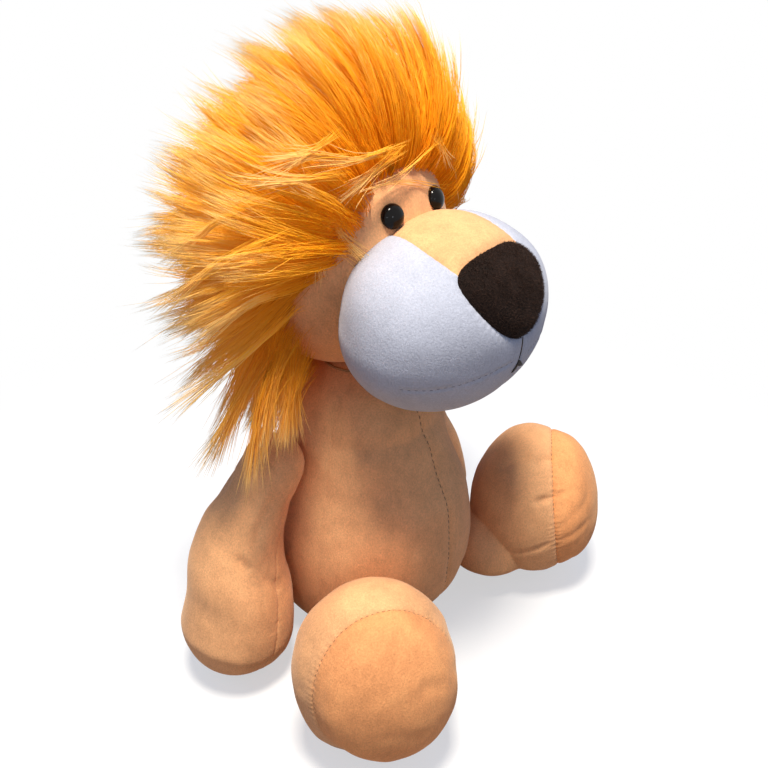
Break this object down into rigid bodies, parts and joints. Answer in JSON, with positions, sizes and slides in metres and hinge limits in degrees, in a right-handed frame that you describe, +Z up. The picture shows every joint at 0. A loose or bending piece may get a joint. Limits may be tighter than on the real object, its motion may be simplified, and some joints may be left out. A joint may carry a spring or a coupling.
{
  "type": "plush_lion",
  "caption": "Seated plush lion with a long-pile mane, white muzzle, plastic eyes and sewn-on head, arms, legs and tail that bend at their seams.",
  "frame": {"origin": "on the flat of the seat, under the middle of the torso, on the surface that the lion sits on", "axes": "+Z up; the lion faces -Y, and its own right side is at -X"},
  "size_m": [0.2095, 0.1996, 0.282],
  "materials": {
    "tan_plush": "short brushed pile, soft sheen",
    "white_plush": "short brushed pile, soft sheen",
    "brown_plush": "dense short velvety pile",
    "mane_fur": "long silky pile, paler at its tips",
    "stuffing": "loose fibre",
    "thread": "twisted thread",
    "dark_thread": "twisted thread",
    "pellets": "small beads in a cloth bag",
    "eye_plastic": "polished",
    "washer_plastic": "moulded"
  },
  "bodies": {
    "torso": {"torso_front_right": "tan_plush", "torso_front_left": "tan_plush", "torso_back": "tan_plush", "torso_stuffing": "stuffing", "seat_pellet_bag": "pellets"},
    "neck_seam": {"neck_stitching": "thread"},
    "head": {"face_cover": "tan_plush", "head_back_cover": "tan_plush", "head_stuffing": "stuffing", "muzzle_stuffing": "stuffing", "right_muzzle_panel": "white_plush", "left_muzzle_panel": "white_plush", "bridge_panel": "tan_plush", "nose_panel": "brown_plush", "mouth_stitching": "dark_thread", "right_eye": "eye_plastic", "left_eye": "eye_plastic", "right_eye_washer": "washer_plastic", "left_eye_washer": "washer_plastic", "mane": "mane_fur"},
    "right_shoulder_seam": {"right_shoulder_stitching": "thread"},
    "right_arm": {"right_arm_inner_cover": "tan_plush", "right_arm_outer_cover": "tan_plush", "right_arm_stuffing": "stuffing"},
    "left_shoulder_seam": {"left_shoulder_stitching": "thread"},
    "left_arm": {"left_arm_inner_cover": "tan_plush", "left_arm_outer_cover": "tan_plush", "left_arm_stuffing": "stuffing"},
    "right_hip_seam": {"right_hip_stitching": "thread"},
    "right_leg": {"right_leg_cover": "tan_plush", "right_sole": "tan_plush", "right_leg_stuffing": "stuffing"},
    "left_hip_seam": {"left_hip_stitching": "thread"},
    "left_leg": {"left_leg_cover": "tan_plush", "left_sole": "tan_plush", "left_leg_stuffing": "stuffing"},
    "tail": {"tail": "tan_plush", "tail_tuft": "mane_fur"}
  },
  "joints": [
    {"name": "head_turn", "type": "hinge", "parent": "torso", "child": "neck_seam", "pos_m": [0, 0, 0.118], "axis": [0, 0, 1], "range_deg": [-30, 30], "stiffness_Nm_per_rad": 0.4},
    {"name": "head_nod", "type": "hinge", "parent": "neck_seam", "child": "head", "pos_m": [0, 0, 0.118], "axis": [1, 0, 0], "range_deg": [-12, 15], "stiffness_Nm_per_rad": 4},
    {"name": "right_arm_swing", "type": "hinge", "parent": "torso", "child": "right_shoulder_seam", "pos_m": [-0.04824, 0.01043, 0.108], "axis": [1, 0, 0], "range_deg": [-6, 50]},
    {"name": "right_arm_lift", "type": "hinge", "parent": "right_shoulder_seam", "child": "right_arm", "pos_m": [-0.04824, 0.01043, 0.108], "axis": [0, 1, 0], "range_deg": [0, 60]},
    {"name": "left_arm_swing", "type": "hinge", "parent": "torso", "child": "left_shoulder_seam", "pos_m": [0.04824, 0.01043, 0.108], "axis": [1, 0, 0], "range_deg": [-6, 50]},
    {"name": "left_arm_lift", "type": "hinge", "parent": "left_shoulder_seam", "child": "left_arm", "pos_m": [0.04824, 0.01043, 0.108], "axis": [0, -1, 0], "range_deg": [0, 60]},
    {"name": "right_leg_splay", "type": "hinge", "parent": "torso", "child": "right_hip_seam", "pos_m": [-0.04976, -0.04525, 0.023], "axis": [0, 0, -1], "range_deg": [-12, 10]},
    {"name": "right_leg_lift", "type": "hinge", "parent": "right_hip_seam", "child": "right_leg", "pos_m": [-0.04976, -0.04525, 0.023], "axis": [-1, 0, 0], "range_deg": [0, 25]},
    {"name": "left_leg_splay", "type": "hinge", "parent": "torso", "child": "left_hip_seam", "pos_m": [0.04976, -0.04525, 0.023], "axis": [0, 0, 1], "range_deg": [-12, 10]},
    {"name": "left_leg_lift", "type": "hinge", "parent": "left_hip_seam", "child": "left_leg", "pos_m": [0.04976, -0.04525, 0.023], "axis": [-1, 0, 0], "range_deg": [0, 25]},
    {"name": "tail_swing", "type": "hinge", "parent": "torso", "child": "tail", "pos_m": [0.00655, 0.05482, 0.013], "axis": [0, 0, 1], "range_deg": [-12, 45]}
  ]
}
